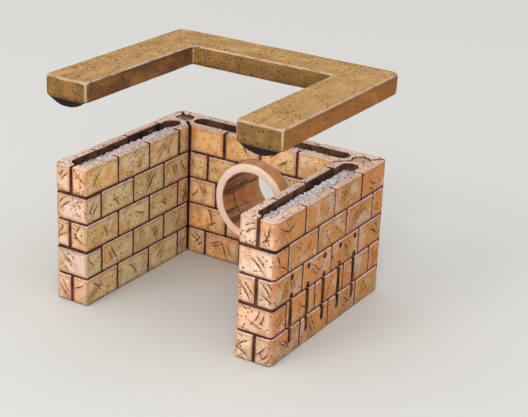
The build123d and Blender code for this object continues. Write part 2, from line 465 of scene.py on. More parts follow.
def mesh_object(name, points, faces, smooth=True):
    """A mesh in the scene."""
    mesh = bpy.data.meshes.new(name)
    mesh.from_pydata([tuple(p) for p in points], [], faces)
    mesh.validate()
    mesh.shade_smooth() if smooth else mesh.shade_flat()
    made = bpy.data.objects.new(name, mesh)
    bpy.context.scene.collection.objects.link(made)
    return made


def set_values(obj, name, values):
    """One number for each point, for a material to read."""
    obj.data.attributes.new(name, "FLOAT", "POINT").data.foreach_set("value", np.asarray(values, np.float32))


def prism(name, outline, bottom, top):
    """Upright prism over an anticlockwise plan outline."""
    count = len(outline)
    points = [(x, y, bottom) for x, y in outline] + [(x, y, top) for x, y in outline]
    faces = [list(range(count))[::-1], list(range(count, 2 * count))]
    faces += [[i, (i + 1) % count, count + (i + 1) % count, count + i] for i in range(count)]
    return mesh_object(name, points, faces, smooth=False)


def disc(x, y, radius, count=64):
    """Plan points round a circle, anticlockwise."""
    return [(x + radius * math.cos(a), y + radius * math.sin(a)) for a in 2 * math.pi * np.arange(count) / count]


def cylinder_along(name, axis, centre, radius, length, count=96):
    """Cylinder about a horizontal axis, as a cutter."""
    made = prism(name, disc(0, 0, radius, count), -length / 2, length / 2)
    turn = Matrix.Rotation(math.pi / 2, 4, "X" if axis == "Y" else "Y")
    made.data.transform(Matrix.Translation(centre) @ turn)
    return made


def cut(obj, cutter):
    """Takes a cutter's space out of a mesh. New points get what the nearest old point carries."""
    old = obj.data
    tree = KDTree(len(old.vertices))
    for vertex in old.vertices:
        tree.insert(vertex.co, vertex.index)
    tree.balance()
    modifier = obj.modifiers.new("cut", "BOOLEAN")
    modifier.operation = "DIFFERENCE"
    modifier.solver = "MANIFOLD"
    modifier.material_mode = "TRANSFER"
    modifier.object = cutter
    mesh = bpy.data.meshes.new_from_object(obj.evaluated_get(bpy.context.evaluated_depsgraph_get()))
    obj.modifiers.clear()
    obj.data = mesh
    nearest = np.array([tree.find(vertex.co)[1] for vertex in mesh.vertices])
    for layer in [a for a in old.attributes if a.domain == "POINT" and a.name in ("tint", *STONE_VALUES)]:
        wide = layer.name == "tint"
        kept = np.zeros(len(old.vertices) * (4 if wide else 1), np.float32)
        layer.data.foreach_get("color" if wide else "value", kept)
        kept = kept.reshape(len(old.vertices), -1)[nearest].ravel()
        mesh.attributes[layer.name].data.foreach_set("color" if wide else "value", kept)


def clean(obj):
    """Joins points that the cuts left on top of each other, and drops the slivers between them."""
    build = bmesh.new()
    build.from_mesh(obj.data)
    bmesh.ops.remove_doubles(build, verts=build.verts, dist=0.00004)
    bmesh.ops.dissolve_degenerate(build, edges=build.edges, dist=0.00004)
    bmesh.ops.triangulate(build, faces=build.faces)
    found = {}
    for face in build.faces:
        found.setdefault(frozenset(face.verts), []).append(face)
    flaps = [face for faces in found.values() if len(faces) > 1 for face in faces]
    bmesh.ops.delete(build, geom=flaps, context="FACES")
    build.to_mesh(obj.data)
    build.free()


def remove(obj):
    """Deletes an object that has done its work."""
    bpy.data.objects.remove(obj, do_unlink=True)


def place_unit(points, unit):
    """Local plan to the row's plan."""
    u, w, z = points.T
    if unit == "rear_wall":
        return np.column_stack([u - INNER_X, REAR_Y + w, z])
    side = 1 if unit == "right_wing_wall" else -1
    return np.column_stack([side * (INNER_X + w), FRONT_Y + u, z])


def tints(block, unit):
    """Colour at each point of a stone: painted light and shade by which way it faces, pale on lit tops and ends and
    orange on soil sides in shade, and its own random tone.
    """
    n = block["normal"]
    bay = REAR_OCHRE if unit == "rear_wall" else BAY_OCHRE
    weights = np.array([np.clip(-n[:, 1], 0, 1), np.clip(n[:, 1], 0, 1), np.clip(-n[:, 0], 0, 1),
                        np.clip(n[:, 2], 0, 1), np.clip(-n[:, 2], 0, 1)]).T ** 2 + 1e-6
    weights /= weights.sum(1)[:, None]
    # Lit and shade-darkened copies of one stone: painted light on tops and ends, painted shade on soil sides.
    palette = np.array([bay, SOIL_SHADED_ORANGE, END_LIT_PEACH if unit != "rear_wall" else bay, RIM_LIT_CREAM, bay])[:, :3]
    tint = weights @ palette
    warm = np.array([1.10, 0.93, 0.78])
    cool = np.array([0.93, 1.02, 1.12])
    hue = block["hue"]
    tint *= (1 + 0.10 * block["shade"]) * (1 + abs(hue) * 0.8 * ((warm if hue > 0 else cool) - 1))
    return tint


def unit_mesh(unit, stones, rng):
    """All stones of a unit as one mesh."""
    points, faces, inner, colours = [], [], [], []
    values = {name: [] for name in STONE_VALUES}
    flip = unit == "right_wing_wall"
    count = 0
    for block in stones:
        built = build_block(block, rng)
        points.append(place_unit(built["points"], unit))
        faces += [[count + i for i in (face[::-1] if flip else face)] for face in built["faces"]]
        inner += built["inner"]
        for name in values:
            values[name].append(built[name])
        colours.append(tints(built, unit))
        count += len(built["points"])
    made = mesh_object(unit + "_stones", np.concatenate(points), faces)
    made.data.polygons.foreach_set("material_index", np.array(inner, np.int32))
    for name in values:
        set_values(made, name, np.concatenate(values[name]))
    tint = np.column_stack([np.concatenate(colours), np.ones(count)])
    made.data.attributes.new("tint", "FLOAT_COLOR", "POINT").data.foreach_set("color", tint.astype(np.float32).ravel())
    return made


# Materials

class Shader:
    """A node material, put together by calls."""

    def __init__(self, name, roughness=0.9, gloss=0.2):
        self.material = bpy.data.materials.new(name)
        self.material.use_nodes = True
        self.tree = self.material.node_tree
        self.tree.nodes.clear()
        self.surface = self.node("BsdfPrincipled", {}, {"Roughness": roughness, "Specular IOR Level": gloss})
        self.node("OutputMaterial", {}, {"Surface": self.surface.outputs[0]})
        self.place = self.node("TexCoord").outputs["Object"]

    def node(self, kind, settings={}, inputs={}):
        """A node with its settings and with values or links on its inputs."""
        made = self.tree.nodes.new("ShaderNode" + kind)
        for name, value in settings.items():
            setattr(made, name, value)
        for name, value in inputs.items():
            if isinstance(value, bpy.types.NodeSocket):
                self.tree.links.new(value, made.inputs[name])
            else:
                made.inputs[name].default_value = value
        return made

    def noise(self, scale, detail=2.0, shift=0.0, distortion=0.0):
        """Noise from 0 to 1 with so many lumps to the metre."""
        moved = self.node("VectorMath", {"operation": "ADD"}, {0: self.place, 1: (shift, shift, shift)}).outputs[0]
        inputs = {"Vector": moved, "Scale": scale, "Detail": detail, "Distortion": distortion}
        return self.node("TexNoise", {}, inputs).outputs[0]

    def streaks(self, scale, stretch, turn, shift=0.0):
        """Noise drawn out along one slanting direction."""
        turned = self.node("VectorRotate", {"rotation_type": "EULER_XYZ"}, {"Vector": self.place, "Rotation": turn})
        long = self.node("VectorMath", {"operation": "MULTIPLY_ADD"},
                         {0: turned.outputs[0], 1: (1, 1, 1 / stretch), 2: (shift, shift, shift)}).outputs[0]
        return self.node("TexNoise", {}, {"Vector": long, "Scale": scale, "Detail": 3.0}).outputs[0]

    def band(self, value, low, high, to_low=0.0, to_high=1.0):
        """A smooth step from one value to another."""
        inputs = {"Value": value, "From Min": low, "From Max": high, "To Min": to_low, "To Max": to_high}
        return self.node("MapRange", {"interpolation_type": "SMOOTHSTEP"}, inputs).outputs[0]

    def maths(self, operation, a, b=0.0):
        """A sum, product or other step of arithmetic."""
        return self.node("Math", {"operation": operation}, {0: a, 1: b}).outputs[0]

    def mix(self, factor, a, b, blend="MIX"):
        """One colour over another."""
        settings = {"data_type": "RGBA", "blend_type": blend}
        return self.node("Mix", settings, {0: factor, 6: a, 7: b}).outputs[2]

    def stored(self, name, output="Fac"):
        """A value that a mesh carries."""
        return self.node("Attribute", {"attribute_name": name}).outputs[output]

    def dots(self, scale, radius, share, shift=0.0):
        """Small ragged pits, on a share of the places in a random grid."""
        ragged = self.node("TexNoise", {}, {"Vector": self.place, "Scale": 170, "Detail": 2.0}).outputs["Color"]
        moved = self.node("VectorMath", {"operation": "MULTIPLY_ADD"},
                          {0: ragged, 1: (0.012, 0.012, 0.012), 2: self.place}).outputs[0]
        moved = self.node("VectorMath", {"operation": "ADD"}, {0: moved, 1: (shift, shift, shift)}).outputs[0]
        cells = self.node("TexVoronoi", {}, {"Vector": moved, "Scale": scale})
        chance = self.node("SeparateColor", {}, {0: cells.outputs["Color"]})
        size = self.maths("MULTIPLY_ADD", chance.outputs[1], radius * 0.6)
        size.node.inputs[2].default_value = radius * 0.6
        spot = self.band(self.maths("DIVIDE", cells.outputs["Distance"], size), 1.15, 0.75)
        return self.maths("MULTIPLY", spot, self.maths("LESS_THAN", chance.outputs[0], share))

    def finish(self, base, height=None, strength=0.5, distance=0.004):
        """Puts colour and bump on the surface."""
        self.tree.links.new(base, self.surface.inputs["Base Color"])
        if height is not None:
            bump = self.node("Bump", {}, {"Height": height, "Strength": strength, "Distance": distance})
            self.tree.links.new(bump.outputs[0], self.surface.inputs["Normal"])
        return self.material


def stone_material(name, top_light_share):
    """Split-faced ochre stone: stained patches, dark specks and chisel cuts, with painted light and shade: a pale lit
    top, painted shade near the joints and in and beside the cuts, painted highlights on the upper arrises and painted
    shadow on the lower ones.
    """
    made = Shader(name, roughness=0.88)
    base = made.stored("tint", "Color")
    lilac = made.band(made.noise(6.5, 3), 0.48, 0.66, 0, 0.45)
    base = made.mix(lilac, base, colour(216, 204, 196))
    green = made.band(made.noise(7.0, 3, shift=3.1), 0.50, 0.66, 0, 0.42)
    base = made.mix(green, base, colour(172, 164, 108))
    orange = made.band(made.noise(8.0, 4, shift=7.7, distortion=0.6), 0.50, 0.64, 0, 0.50)
    base = made.mix(orange, base, colour(212, 138, 62))
    strokes = made.band(made.streaks(26, 7, (0.9, 0.5, 0.3)), 0.54, 0.66, 0, 0.38)
    base = made.mix(strokes, base, colour(158, 98, 48))
    grain = made.noise(140, 3, shift=1.7)
    base = made.mix(0.5, base, made.mix(grain, colour(158, 136, 114), colour(255, 252, 246)), "MULTIPLY")
    # Painted shade: darker orange-brown towards each block's edges, at the joints.
    painted_edge_shade = made.band(made.stored("margin"), 0.036, 0.010, 0, 0.55)
    base = made.mix(painted_edge_shade, base, colour(160, 100, 62))
    height = made.node("SeparateXYZ", {}, {0: made.place}).outputs[2]
    damp = made.maths("MULTIPLY", made.band(height, 0.16, 0.0), made.band(made.noise(11, 3, shift=4.9), 0.35, 0.65))
    base = made.mix(made.maths("MULTIPLY", damp, 0.45), base, colour(116, 98, 62))
    clusters = made.band(made.noise(8, 1, shift=5.3), 0.40, 0.52, 0.12, 1.0)
    upward = made.node("SeparateXYZ", {}, {0: made.node("NewGeometry").outputs["Normal"]}).outputs[2]
    # Painted light: upward faces made paler.
    base = made.mix(made.band(upward, 0.6, 0.9, 0, top_light_share), base, colour(240, 214, 198))
    everywhere = made.maths("MAXIMUM", clusters, made.band(upward, 0.6, 0.9, 0, 0.9))
    spots = made.maths("MULTIPLY", made.dots(46, 0.29, 0.90), everywhere)
    rim_spots = made.maths("MULTIPLY", made.dots(40, 0.34, 0.42, shift=3.7), made.band(upward, 0.6, 0.9))
    spots = made.maths("MAXIMUM", spots, rim_spots)
    base = made.mix(made.maths("MULTIPLY", spots, 0.90), base, colour(64, 30, 20))
    # Painted shade of the chisel cuts: brown on one side of each cut, near black in its groove.
    base = made.mix(made.maths("MULTIPLY", made.stored("brown"), 0.60), base, colour(150, 84, 32))
    broken = made.band(made.noise(38, 2, shift=2.2), 0.30, 0.50, 0.55, 1.0)
    rough = made.maths("MULTIPLY_ADD", made.noise(95, 3, shift=6.6), 0.55)
    made.tree.links.new(made.stored("dark"), rough.node.inputs[2])
    cuts = made.maths("MULTIPLY", made.band(rough, 0.66, 0.86, 0, 0.95), broken)
    base = made.mix(cuts, base, colour(66, 32, 20))
    # Painted highlight on the upper arrises and painted shadow on the lower ones, broken up by noise.
    arris_light_breakup = made.band(made.noise(14, 3, shift=9.1), 0.40, 0.60, 0.25, 0.90)
    arris = made.maths("MULTIPLY", made.band(made.stored("arris"), 0.25, 0.85), arris_light_breakup)
    painted_under_shadow = made.maths("MULTIPLY", arris, made.band(upward, -0.15, -0.55, 0, 0.50))
    base = made.mix(painted_under_shadow, base, colour(112, 66, 42))
    pale = made.maths("MULTIPLY", arris, made.band(upward, -0.30, 0.45, 0.0, 0.90))
    base = made.mix(pale, base, colour(214, 198, 204))
    height = made.maths("SUBTRACT", made.maths("MULTIPLY", grain, 0.6), spots)
    return made.finish(base, height, strength=0.55, distance=0.003)


def plain_stone_material(name, dark, light, roughness=0.92):
    """Rough cast stone between two colours."""
    made = Shader(name, roughness)
    patches = made.band(made.noise(14, 4), 0.35, 0.65)
    grain = made.noise(160, 3, shift=4.4)
    base = made.mix(patches, dark, light)
    base = made.mix(0.5, base, made.mix(grain, colour(140, 130, 125), colour(255, 255, 255)), "MULTIPLY")
    return made.finish(base, grain, strength=0.5, distance=0.003)


def cap_material():
    """Tan cast stone drawn out along each arm, with dark pits, and painted light and shade: browner upright sides with
    dark painted shade bands, pale painted highlights on the upper edges and a near black painted shadow on the nose.
    """
    made = Shader("cap_stone", roughness=0.80)
    base = made.stored("tint", "Color")
    turned = made.stored("turned")

    def along(scale, stretch, shift):
        arm = made.streaks(scale, stretch, (math.pi / 2, 0, 0), shift)
        back = made.streaks(scale, stretch, (0, math.pi / 2, 0), shift + 4.0)
        return made.node("Mix", {"data_type": "FLOAT"}, {0: turned, 2: arm, 3: back}).outputs[0]

    base = made.mix(made.band(along(24, 4, 0.0), 0.50, 0.68, 0, 0.18), base, colour(136, 96, 50))
    base = made.mix(made.band(along(9, 2, 6.2), 0.46, 0.64, 0, 0.50), base, colour(160, 116, 62))
    base = made.mix(made.band(along(12, 2, 1.2), 0.50, 0.68, 0, 0.42), base, colour(255, 240, 214), "SOFT_LIGHT")
    base = made.mix(made.band(made.noise(38, 3, shift=2.9), 0.46, 0.66, 0, 0.22), base, colour(128, 94, 60))
    # Painted shade bands along the bottom and the top of the sides.
    base = made.mix(made.maths("MULTIPLY", made.stored("painted_shade_band"), 0.62), base, colour(70, 46, 30))
    grain = made.noise(170, 3, shift=1.3)
    base = made.mix(0.45, base, made.mix(grain, colour(160, 138, 112), colour(255, 252, 246)), "MULTIPLY")
    clusters = made.band(made.noise(4.0, 2, shift=8.8), 0.44, 0.53)
    spots = made.maths("MULTIPLY", made.dots(46, 0.33, 0.80), clusters)
    scattered = made.dots(40, 0.29, 0.30, shift=2.5)
    spots = made.maths("MAXIMUM", spots, scattered)
    base = made.mix(made.maths("MULTIPLY", spots, 0.92), base, colour(78, 42, 18))
    # Painted highlight on the upper edges, broken up by noise.
    arris_light_breakup = made.band(made.noise(12, 2, shift=3.3), 0.34, 0.54, 0.25, 0.80)
    pale = made.maths("MULTIPLY", made.stored("arris"), arris_light_breakup)
    base = made.mix(pale, base, colour(192, 170, 152))
    # Painted shadow: the nose below the cap is near black.
    painted_nose_shadow = made.mix(made.noise(30, 3, shift=7.0), colour(10, 6, 12), colour(34, 22, 34))
    base = made.mix(made.stored("nose"), base, painted_nose_shadow)
    height = made.maths("SUBTRACT", made.maths("MULTIPLY", grain, 0.5), spots)
    return made.finish(base, height, strength=0.5, distance=0.003)


def pipe_material():
    """Concrete pipe: peach ends carrying painted light, an orange-brown outside with painted highlights on its outer
    edges, and a brown, streaked bore kept a little darker as painted shade.
    """
    made = Shader("pipe_concrete", roughness=0.72)
    base = made.stored("tint", "Color")
    patches = made.band(made.noise(8, 4, shift=2.0), 0.45, 0.70, 0, 0.35)
    base = made.mix(patches, base, colour(204, 152, 108))
    dark = made.band(made.noise(7.5, 3, shift=5.0), 0.46, 0.62, 0, 0.28)
    base = made.mix(dark, base, colour(112, 72, 60))
    rubbed = made.band(made.streaks(16, 6, (0, 0, 0), shift=6.0), 0.50, 0.62, 0, 0.40)
    base = made.mix(rubbed, base, colour(232, 178, 128))
    drawn = made.streaks(24, 12, (math.pi / 2, 0, 0), shift=1.5)
    base = made.mix(made.maths("MULTIPLY", made.stored("bore"), made.band(drawn, 0.50, 0.62, 0, 0.75)), base,
                    colour(70, 44, 34))
    base = made.mix(made.maths("MULTIPLY", made.stored("bore"), made.band(drawn, 0.48, 0.38, 0, 0.75)), base,
                    colour(212, 136, 72))
    grain = made.noise(180, 3)
    base = made.mix(0.45, base, made.mix(grain, colour(160, 142, 126), colour(255, 252, 248)), "MULTIPLY")
    # Painted light: the end faces paler still.
    ring = made.maths("MULTIPLY", made.stored("end"), 0.65)
    base = made.mix(ring, base, colour(226, 202, 188))
    spots = made.dots(44, 0.14, 0.22, shift=1.1)
    base = made.mix(made.maths("MULTIPLY", spots, 0.6), base, colour(104, 64, 42))
    # Painted highlight on the outer edges.
    pale = made.maths("MULTIPLY", made.stored("arris"), 0.6)
    base = made.mix(pale, base, colour(246, 226, 214))
    height = made.maths("SUBTRACT", made.maths("MULTIPLY", grain, 0.5), spots)
    return made.finish(base, height, strength=0.4, distance=0.002)


def gravel_material():
    """Pale, cool crushed stone, each pebble with its own shade."""
    made = Shader("gravel", roughness=0.75)
    grain = made.noise(260, 3)
    base = made.mix(0.5, made.stored("tint", "Color"),
                    made.mix(grain, colour(150, 150, 156), colour(255, 255, 255)), "MULTIPLY")
    return made.finish(base, grain, strength=0.4, distance=0.0015)


# Wall units

def core_outline(low, high, grow):
    """Plan of a core, widened by a margin."""
    half = CORE_WIDTH / 2 + grow
    along_y = high.y - low.y > high.x - low.x
    middle = np.array([(low.x + high.x) / 2, (low.y + high.y) / 2])
    reach = (high.y - low.y if along_y else high.x - low.x) / 2 - CORE_WIDTH / 2
    run = np.array([0.0, 1.0]) if along_y else np.array([1.0, 0.0])
    side = np.array([-run[1], run[0]])
    points = []
    for end, start in ((1, -math.pi / 2), (-1, math.pi / 2)):
        for a in start + math.pi * np.arange(25) / 24:
            points.append(middle + run * (end * reach + half * math.cos(a)) + side * half * math.sin(a))
    return points


def core_box(unit):
    """Box of a unit's core fill."""
    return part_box(unit.replace("wing_wall", "core_fill").replace("rear_wall", "rear_core_fill"))


def corner_places():
    """Plan places of the two corner keys."""
    reach = INNER_X + THICKNESS / 2
    return ((-reach, REAR_Y + THICKNESS / 2), (reach, REAR_Y + THICKNESS / 2))


def drain_places(unit):
    """Places of the drain columns along a wing, as in the CAD wall."""
    low, high = core_box(unit)
    first, last = low.y + CORE_WIDTH / 2, high.y - CORE_WIDTH / 2
    pitch = (last - first) / DRAIN_COLUMNS
    return [first + pitch * (column + 0.5) for column in range(DRAIN_COLUMNS)]


def drain_cutters(unit, grow):
    """Cutters for the tall slots and the round holes over them."""
    side = 1 if unit == "right_wing_wall" else -1
    x = side * (INNER_X + THICKNESS - LEAF / 2)
    made = []
    radius = DRAIN_WIDTH / 2 + grow
    for y in drain_places(unit):
        outline = []
        for z, start in ((DRAIN_SLOT[1] - DRAIN_WIDTH / 2, 0.0), (DRAIN_SLOT[0] + DRAIN_WIDTH / 2, math.pi)):
            outline += [(radius * math.cos(a), z + radius * math.sin(a)) for a in start + math.pi * np.arange(17) / 16]
        for name, loop in (("slot", outline), ("hole", disc(0, DRAIN_HOLE_Z, radius, 32))):
            cutter = prism(name, loop, -LEAF, LEAF)
            turn = Matrix(((0, 0, 1, x), (1, 0, 0, y), (0, 1, 0, 0), (0, 0, 0, 1)))
            cutter.data.transform(turn)
            made.append(cutter)
    return made


def cutters_of(unit, grow, key_grow, pipe_grow, drain_grow):
    """Everything that is taken out of a unit's stones or mortar."""
    low, high = core_box(unit)
    made = [prism("core", core_outline(low, high, grow), -0.1, RIM + 0.1)]
    if unit == "rear_wall":
        centre = (0, REAR_Y + THICKNESS / 2, PIPE_Z)
        made.append(cylinder_along("pipe", "Y", centre, PIPE_RADIUS + pipe_grow, 2 * THICKNESS))
    else:
        made += drain_cutters(unit, drain_grow)
    for place in corner_places():
        made.append(prism("key", disc(*place, KEY_RADIUS + key_grow), -0.1, RIM + 0.1))
    return made


def unit_outline(unit, inset_by):
    """Plan of a whole unit, moved in from its faces and its mitres."""
    if unit == "rear_wall":
        quad = [(0, 0), (BAY, 0), (BAY + THICKNESS, THICKNESS), (-THICKNESS, THICKNESS)]
        gaps = [inset_by, MITRE_GAP, inset_by, MITRE_GAP]
    else:
        quad = [(0, 0), (WING_LENGTH, 0), (WING_LENGTH + THICKNESS, THICKNESS), (0, THICKNESS)]
        gaps = [inset_by, MITRE_GAP, inset_by, inset_by]
    plan = inset(np.array(quad, float), gaps)
    if unit != "rear_wall":
        centre = np.array([CORNER_ROUND, THICKNESS - CORNER_ROUND])
        angle = math.pi / 2 + math.pi / 2 * np.arange(9)[:, None] / 8
        arc = centre + (CORNER_ROUND - inset_by) * np.hstack([np.cos(angle), np.sin(angle)])
        plan = np.vstack([plan[:3], arc])
    placed = place_unit(np.column_stack([plan, np.zeros(len(plan))]), unit)[:, :2]
    return placed[::-1] if unit == "right_wing_wall" else placed


def wall_unit(unit, seed, stone_finish, core_shade_finish, mortar_finish):
    """A unit's stones and the mortar that backs them."""
    rng = np.random.default_rng(seed)
    stones = rear_stones(rng) if unit == "rear_wall" else wing_stones(rng)
    blocks = unit_mesh(unit, stones, rng)
    blocks.data.materials.append(stone_finish)
    blocks.data.materials.append(core_shade_finish)
    low, high = core_box(unit)
    margin = TOP_UNEVEN + 0.004
    # Stone faces inside the core take the dark core finish: painted shade.
    for polygon in blocks.data.polygons:
        x, y, z = polygon.center
        in_core = low.x - margin < x < high.x + margin and low.y - margin < y < high.y + margin
        if polygon.material_index:
            polygon.use_smooth = False
        elif in_core and z < RIM - MOUTH_ARRIS and abs(polygon.normal.z) < 0.5:
            polygon.material_index = 1
    backing = prism(unit + "_mortar", unit_outline(unit, MORTAR_DEPTH), 0.002, RIM - 0.009)
    backing.data.materials.append(mortar_finish)
    # Cut faces of the stones take the dark core finish, painted shade in the cores, slots, holes and key sockets.
    for obj, finish, *grow in ((blocks, core_shade_finish, 0.0, KEY_GAP, 0.004, 0.0),
                               (backing, mortar_finish, 0.016, KEY_GAP + 0.002, 0.001, 0.004)):
        for cutter in cutters_of(unit, *grow):
            cutter.data.materials.append(finish)
            cut(obj, cutter)
            remove(cutter)
        clean(obj)
        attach(obj, "walls")
        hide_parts(unit)
    return blocks


# Turned pieces

def lathe(name, profile, centre, axis, seed, count=144, rough=0.0008):
    """A closed profile of radius and distance along, turned about an axis, with a slightly uneven skin."""
    profile = np.array(profile, float)
    fine = []
    for start, end in zip(profile, np.roll(profile, -1, 0)):
        steps = max(1, round(np.hypot(*(end - start)) / 0.012))
        fine += [start + (end - start) * step / steps for step in range(steps)]
    fine = np.array(fine)
    rings = len(fine)
    angle = 2 * math.pi * np.arange(count) / count
    radius = np.repeat(fine[:, 0], count)
    along = np.repeat(fine[:, 1], count)
    turn = np.tile(angle, rings)
    if axis == "Y":
        points = np.column_stack([radius * np.cos(turn), along, radius * np.sin(turn)])
    else:
        points = np.column_stack([radius * np.cos(turn), radius * np.sin(turn), along])
    points += np.array(centre)
    after = np.roll(profile, -1, 0)
    flip = (np.sum(profile[:, 0] * after[:, 1] - after[:, 0] * profile[:, 1]) > 0) == (axis == "Y")
    faces = []
    for ring in range(rings):
        after = (ring + 1) % rings
        for step in range(count):
            side = (step + 1) % count
            face = [ring * count + step, ring * count + side, after * count + side, after * count + step]
            faces.append(face[::-1] if flip else face)
    made = mesh_object(name, points, faces)
    normals = np.zeros(len(points) * 3, np.float32)
    made.data.vertex_normals.foreach_get("vector", normals)
    normals = normals.reshape(-1, 3)
    shift = rough * (1 + noise(points, 0.05, seed)) + 0.5 * rough * (1 + noise(points, 0.016, seed + 1))
    points = points - normals * shift[:, None]
    made.data.vertices.foreach_set("co", points.astype(np.float32).ravel())
    made.data.update()
    return made, points, normals


def set_tint(obj, tint):
    """One colour for each point."""
    tint = np.column_stack([tint, np.ones(len(tint))]).astype(np.float32)
    obj.data.attributes.new("tint", "FLOAT_COLOR", "POINT").data.foreach_set("color", tint.ravel())


def ring_piece(name, node, profile, facing, finish, seed):
    """A length of the concrete pipe with painted light on the pale end facing out and painted shade on the dark one in
    the joint.
    """
    made, points, normals = lathe(name, profile, (0, 0, PIPE_Z), "Y", seed)
    radius = np.hypot(points[:, 0], points[:, 2] - PIPE_Z)
    end_face = np.clip(facing * normals[:, 1], 0, 1) ** 2
    joint_face = np.clip(-facing * normals[:, 1], 0, 1)
    outside = (radius > (PIPE_RADIUS + BORE_RADIUS) / 2)[:, None]
    # Painted light on the pale end faces; the bore a little darker than the outside as painted shade.
    tint = np.where(outside, np.array(PIPE_OUTSIDE)[:3], np.array(PIPE_BORE)[:3])
    tint = tint * (1 - end_face)[:, None] + np.array(PIPE_LIT_END)[:3] * end_face[:, None]
    # Painted shade on the faces in the joint between the pieces.
    tint *= (1 - 0.85 * joint_face)[:, None]
    set_tint(made, tint)
    corner = 1 - np.abs(np.abs(normals[:, 1]) - 0.707) / 0.4
    set_values(made, "arris", np.clip(corner, 0, 1) * outside[:, 0])
    set_values(made, "bore", (1 - end_face) * (1 - joint_face) * (1 - outside[:, 0]))
    set_values(made, "end", end_face)
    made.data.materials.append(finish)
    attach(made, "walls")
    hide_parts(node)
    return made


def corner_key(name, place, tone, finish, seed):
    """The round key in a mitred corner, with a slightly domed head whose rounded upper edge carries a painted
    highlight.
    """
    head = RIM - 0.002
    profile = [(0.0003, 0.0), (KEY_RADIUS, 0.0), (KEY_RADIUS, head - 0.012), (KEY_RADIUS - 0.004, head - 0.004),
               (KEY_RADIUS - 0.012, head), (0.0003, head)]
    made, points, normals = lathe(name, profile, (*place, 0), "Z", seed, count=72, rough=0.0008)
    set_tint(made, np.tile(np.array(tone)[:3], (len(points), 1)))
    # Upper edge of the head, for the painted highlight.
    arris = np.clip(1 - np.abs(normals[:, 2] - 0.7) / 0.35, 0, 1)
    set_values(made, "arris", arris)
    set_values(made, "dark", np.zeros(len(points)))
    set_values(made, "brown", np.zeros(len(points)))
    set_values(made, "margin", np.full(len(points), 0.05))
    made.data.materials.append(finish)
    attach(made, "walls")
    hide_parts("rear_wall")
    return made


# Cap stone

def cap_piece(finish):
    """The cap as cast stone: the CAD shape with a fine, slightly uneven skin and a few chipped edges."""
    made = bpy.data.objects.new("cap_stone_cast", frame["nodes"]["cap_stone"].data.copy())
    bpy.context.scene.collection.objects.link(made)
    remesh = made.modifiers.new("even", "REMESH")
    remesh.mode = "VOXEL"
    remesh.voxel_size = CAP_CELL
    soften = made.modifiers.new("soften", "SMOOTH")
    soften.iterations = 4
    mesh = bpy.data.meshes.new_from_object(made.evaluated_get(bpy.context.evaluated_depsgraph_get()))
    made.modifiers.clear()
    made.data = mesh
    count = len(mesh.vertices)
    points, normals = np.zeros(count * 3, np.float32), np.zeros(count * 3, np.float32)
    mesh.vertices.foreach_get("co", points)
    mesh.vertex_normals.foreach_get("vector", normals)
    points, normals = points.reshape(-1, 3).astype(float), normals.reshape(-1, 3)
    strongest = np.abs(normals).max(1)
    upright = np.abs(normals[:, 2]) < 0.25
    arris = np.clip((np.where(upright, 0.86, 0.97) - strongest) / np.where(upright, 0.07, 0.11), 0, 1)
    depth = 0.0012 * (1 + noise(points, 0.16, 51)) + 0.0007 * (1 + noise(points, 0.05, 52))
    chips = np.clip(noise(points, 0.055, 53) - 0.45, 0, 1) * 0.016
    depth += arris * chips
    points = points - normals * depth[:, None]
    mesh.vertices.foreach_set("co", points.astype(np.float32).ravel())
    mesh.update()
    mesh.shade_smooth()
    # Painted light and shade by which way a face looks: a lit tan top, brown ends and sides in painted shade, a dark
    # painted-shade underside.
    weights = np.column_stack([np.clip(normals[:, 2], 0, 1), np.abs(normals[:, 1]),
                               np.abs(normals[:, 0]), np.clip(-normals[:, 2], 0, 1)])
    weights = weights ** 4 + 1e-6
    weights /= weights.sum(1)[:, None]
    tint = weights @ np.array([CAP_LIT_TOP, CAP_SHADED_END, CAP_SHADED_SIDE, CAP_UNDERSIDE_SHADE])[:, :3]
    # The outward sides get a lighter orange-brown, so the bay-facing sides stay darker as painted shade.
    outer = weights[:, 2] * (np.abs(points[:, 0]) > INNER_X + THICKNESS / 2)
    tint += outer[:, None] * (np.array(CAP_OUTER) - CAP_SHADED_SIDE)[:3]
    base_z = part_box("cap_stone")[1].z - CAP_THICKNESS
    # Nose mask for the painted shadow below the cap.
    nose = np.clip((base_z + 0.004 - points[:, 2]) / 0.006, 0, 1)
    set_tint(made, tint)
    # Edges for the painted highlight, left out where they face down.
    set_values(made, "arris", arris * (normals[:, 2] > -0.25))
    set_values(made, "nose", nose)
    # Painted shade bands: dark along the bottom of the Y-facing faces and just below the top edge of the X-facing
    # ones.
    painted_shade_band = np.clip((base_z + CAP_SHADE_BAND - points[:, 2]) / CAP_SHADE_BAND, 0, 1) ** 1.5 * weights[:, 1]
    head = np.clip((points[:, 2] - base_z - CAP_THICKNESS) / CAP_SHADE_BAND + 1, 0, 1) ** 1.2 * weights[:, 2]
    set_values(made, "painted_shade_band", np.maximum(painted_shade_band, 0.9 * head))
    set_values(made, "turned", points[:, 1] - REAR_Y > np.abs(points[:, 0]) - INNER_X)
    mesh.materials.clear()
    mesh.materials.append(finish)
    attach(made, "cap")
    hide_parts("cap_stone")
    return made


# Gravel

def pebble_shape():
    """Points and faces of a plain, round pebble of radius 1."""
    build = bmesh.new()
    bmesh.ops.create_icosphere(build, subdivisions=2, radius=1)
    points = np.array([v.co[:] for v in build.verts])
    faces = np.array([[v.index for v in f.verts] for f in build.faces])
    build.free()
    return points, faces


